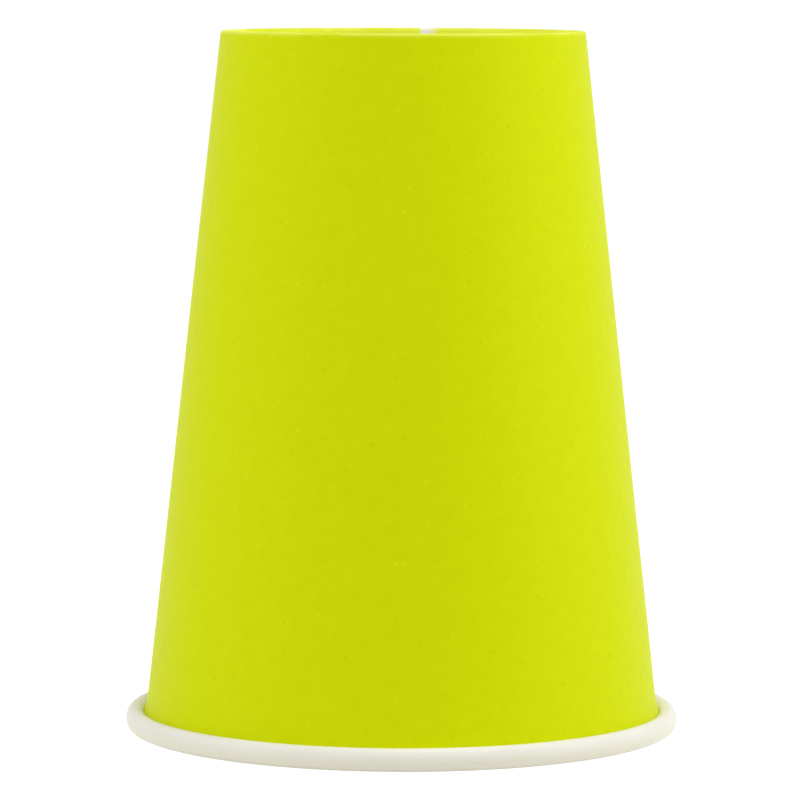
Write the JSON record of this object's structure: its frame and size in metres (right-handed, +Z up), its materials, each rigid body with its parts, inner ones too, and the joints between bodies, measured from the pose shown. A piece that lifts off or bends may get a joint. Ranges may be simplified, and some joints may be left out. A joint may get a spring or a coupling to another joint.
{
  "type": "paper cup",
  "caption": "Single-wall paper cup standing upside down on its rolled rim, with a lapped side seam, a folded base hem and a recessed bottom.",
  "frame": {"origin": "centre of the rolled rim, in the plane of the rim's crest that the cup stands on", "axes": "+Z up along the cup's axis, from the rim to the base, because the cup stands upside down; +Y towards the side seam, which ends about 6 degrees to +Y's +X side"},
  "size_m": [0.09, 0.09, 0.1135],
  "materials": {
    "printed_board": "satin lime green print outside, coated white board inside and over the rolled rim",
    "bottom_board": "coated white board"
  },
  "bodies": {
    "root": {"sidewall": "printed_board", "bottom_disc": "bottom_board"}
  },
  "joints": []
}
